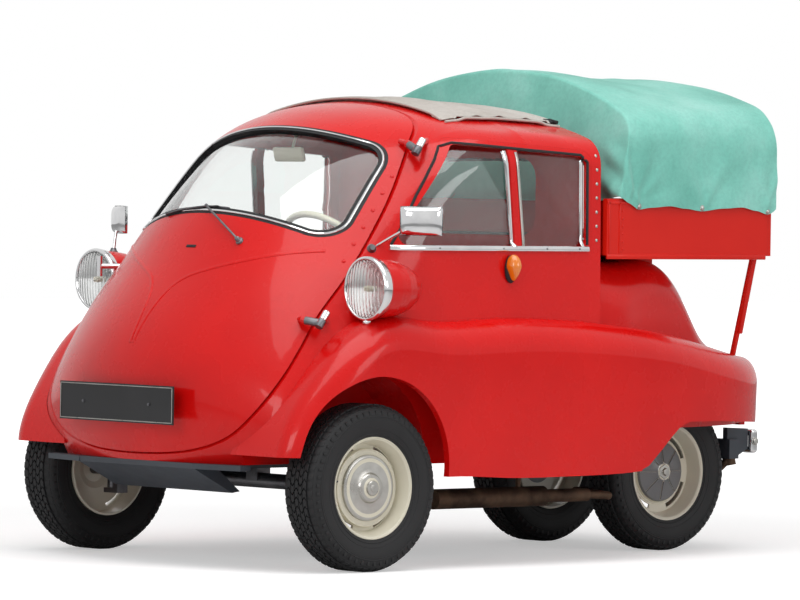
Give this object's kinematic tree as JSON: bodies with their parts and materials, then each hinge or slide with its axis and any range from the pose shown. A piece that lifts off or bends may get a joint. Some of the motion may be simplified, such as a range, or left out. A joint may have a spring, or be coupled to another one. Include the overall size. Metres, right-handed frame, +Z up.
{
  "type": "bubble car",
  "caption": "Small egg-shaped bubble car in pick-up form, with a front-opening door, a load box and a canvas canopy, rolling on wheels set close together at the back.",
  "frame": {"origin": "centre of the bounding box, on the ground", "axes": "+X forward, +Y to the car's left, +Z up"},
  "size_m": [2.288, 1.41, 1.462],
  "materials": {
    "body_paint": "gloss",
    "lamp_glass": "clear",
    "window_glass": "clear",
    "seal_rubber": "satin",
    "chrome": "polished",
    "roof_fabric": "woven",
    "canvas": "waxed canvas",
    "amber_lens": "gloss",
    "red_lens": "gloss",
    "wiper_metal": "satin",
    "plate": "gloss",
    "dash_paint": "satin",
    "wheel_plastic": "gloss",
    "seat_cloth": "woven",
    "frame_paint": "satin",
    "engine_metal": "cast",
    "exhaust_metal": "rusty",
    "tyre": "matte",
    "rim_paint": "satin"
  },
  "bodies": {
    "body": {"cabin_shell": "body_paint", "fender_left": "body_paint", "fender_right": "body_paint", "tail_shell": "body_paint", "load_box": "body_paint", "headlamp_pod_left": "body_paint", "headlamp_pod_right": "body_paint", "headlamp_lens_left": "lamp_glass", "headlamp_lens_right": "lamp_glass", "side_glass_left": "window_glass", "side_glass_right": "window_glass", "rear_window": "window_glass", "side_window_frame_left": "chrome", "side_window_frame_right": "chrome", "sunroof_fabric": "roof_fabric", "canopy": "canvas", "indicator_left": "amber_lens", "indicator_right": "amber_lens", "tail_lamp_left": "red_lens", "tail_lamp_right": "red_lens", "mirror_left": "chrome", "mirror_right": "chrome", "hinge_upper": "chrome", "hinge_lower": "chrome", "seat_bench": "seat_cloth", "chassis_frame": "frame_paint", "front_axle": "frame_paint", "rear_axle": "frame_paint", "engine_block": "engine_metal", "exhaust": "exhaust_metal", "overrider_left": "chrome", "overrider_right": "chrome"},
    "door": {"front_door": "body_paint", "windscreen": "window_glass", "windscreen_seal": "seal_rubber", "number_plate": "plate", "door_handle": "chrome", "wiper": "wiper_metal", "dash_panel": "dash_paint"},
    "steering": {"steering_wheel": "wheel_plastic"},
    "tailgate_panel": {"tailgate": "body_paint"},
    "upright_left": {"knuckle_left": "frame_paint"},
    "upright_right": {"knuckle_right": "frame_paint"},
    "wheel_front_left": {"tyre_front_left": "tyre", "rim_front_left": "rim_paint"},
    "wheel_front_right": {"tyre_front_right": "tyre", "rim_front_right": "rim_paint"},
    "wheel_rear_left": {"tyre_rear_left": "tyre", "rim_rear_left": "rim_paint"},
    "wheel_rear_right": {"tyre_rear_right": "tyre", "rim_rear_right": "rim_paint"}
  },
  "joints": [
    {"name": "door_swing", "type": "hinge", "parent": "body", "child": "door", "pos_m": [0.454, 0.522, 1.216], "axis": [-0.6137, -0.0538, 0.7877], "range_deg": [0, 80]},
    {"name": "wheel_turn", "type": "hinge", "parent": "door", "child": "steering", "pos_m": [0.515, 0.23, 0.862], "axis": [-0.7666, 0, 0.6422], "range_deg": [-270, 270]},
    {"name": "steer_left", "type": "hinge", "parent": "body", "child": "upright_left", "pos_m": [0.73, 0.525, 0.24], "axis": [0, 0, 1], "range_deg": [-26, 26]},
    {"name": "steer_right", "type": "hinge", "parent": "body", "child": "upright_right", "pos_m": [0.73, -0.525, 0.24], "axis": [0, 0, 1], "range_deg": [-26, 26]},
    {"name": "tailgate_drop", "type": "hinge", "parent": "body", "child": "tailgate_panel", "pos_m": [-0.907, 0, 0.902], "axis": [0, -1, 0], "range_deg": [0, 90]},
    {"name": "roll_front_left", "type": "hinge", "parent": "upright_left", "child": "wheel_front_left", "pos_m": [0.73, 0.6, 0.24], "axis": [0, 1, 0], "continuous": true},
    {"name": "roll_front_right", "type": "hinge", "parent": "upright_right", "child": "wheel_front_right", "pos_m": [0.73, -0.6, 0.24], "axis": [0, 1, 0], "continuous": true},
    {"name": "roll_rear_left", "type": "hinge", "parent": "body", "child": "wheel_rear_left", "pos_m": [-0.77, 0.26, 0.24], "axis": [0, 1, 0], "continuous": true},
    {"name": "roll_rear_right", "type": "hinge", "parent": "body", "child": "wheel_rear_right", "pos_m": [-0.77, -0.26, 0.24], "axis": [0, 1, 0], "continuous": true}
  ],
  "couplings": [
    {"joint": "steer_right", "follows": "steer_left", "ratio": 1},
    {"joint": "wheel_turn", "follows": "steer_left", "ratio": 10}
  ]
}
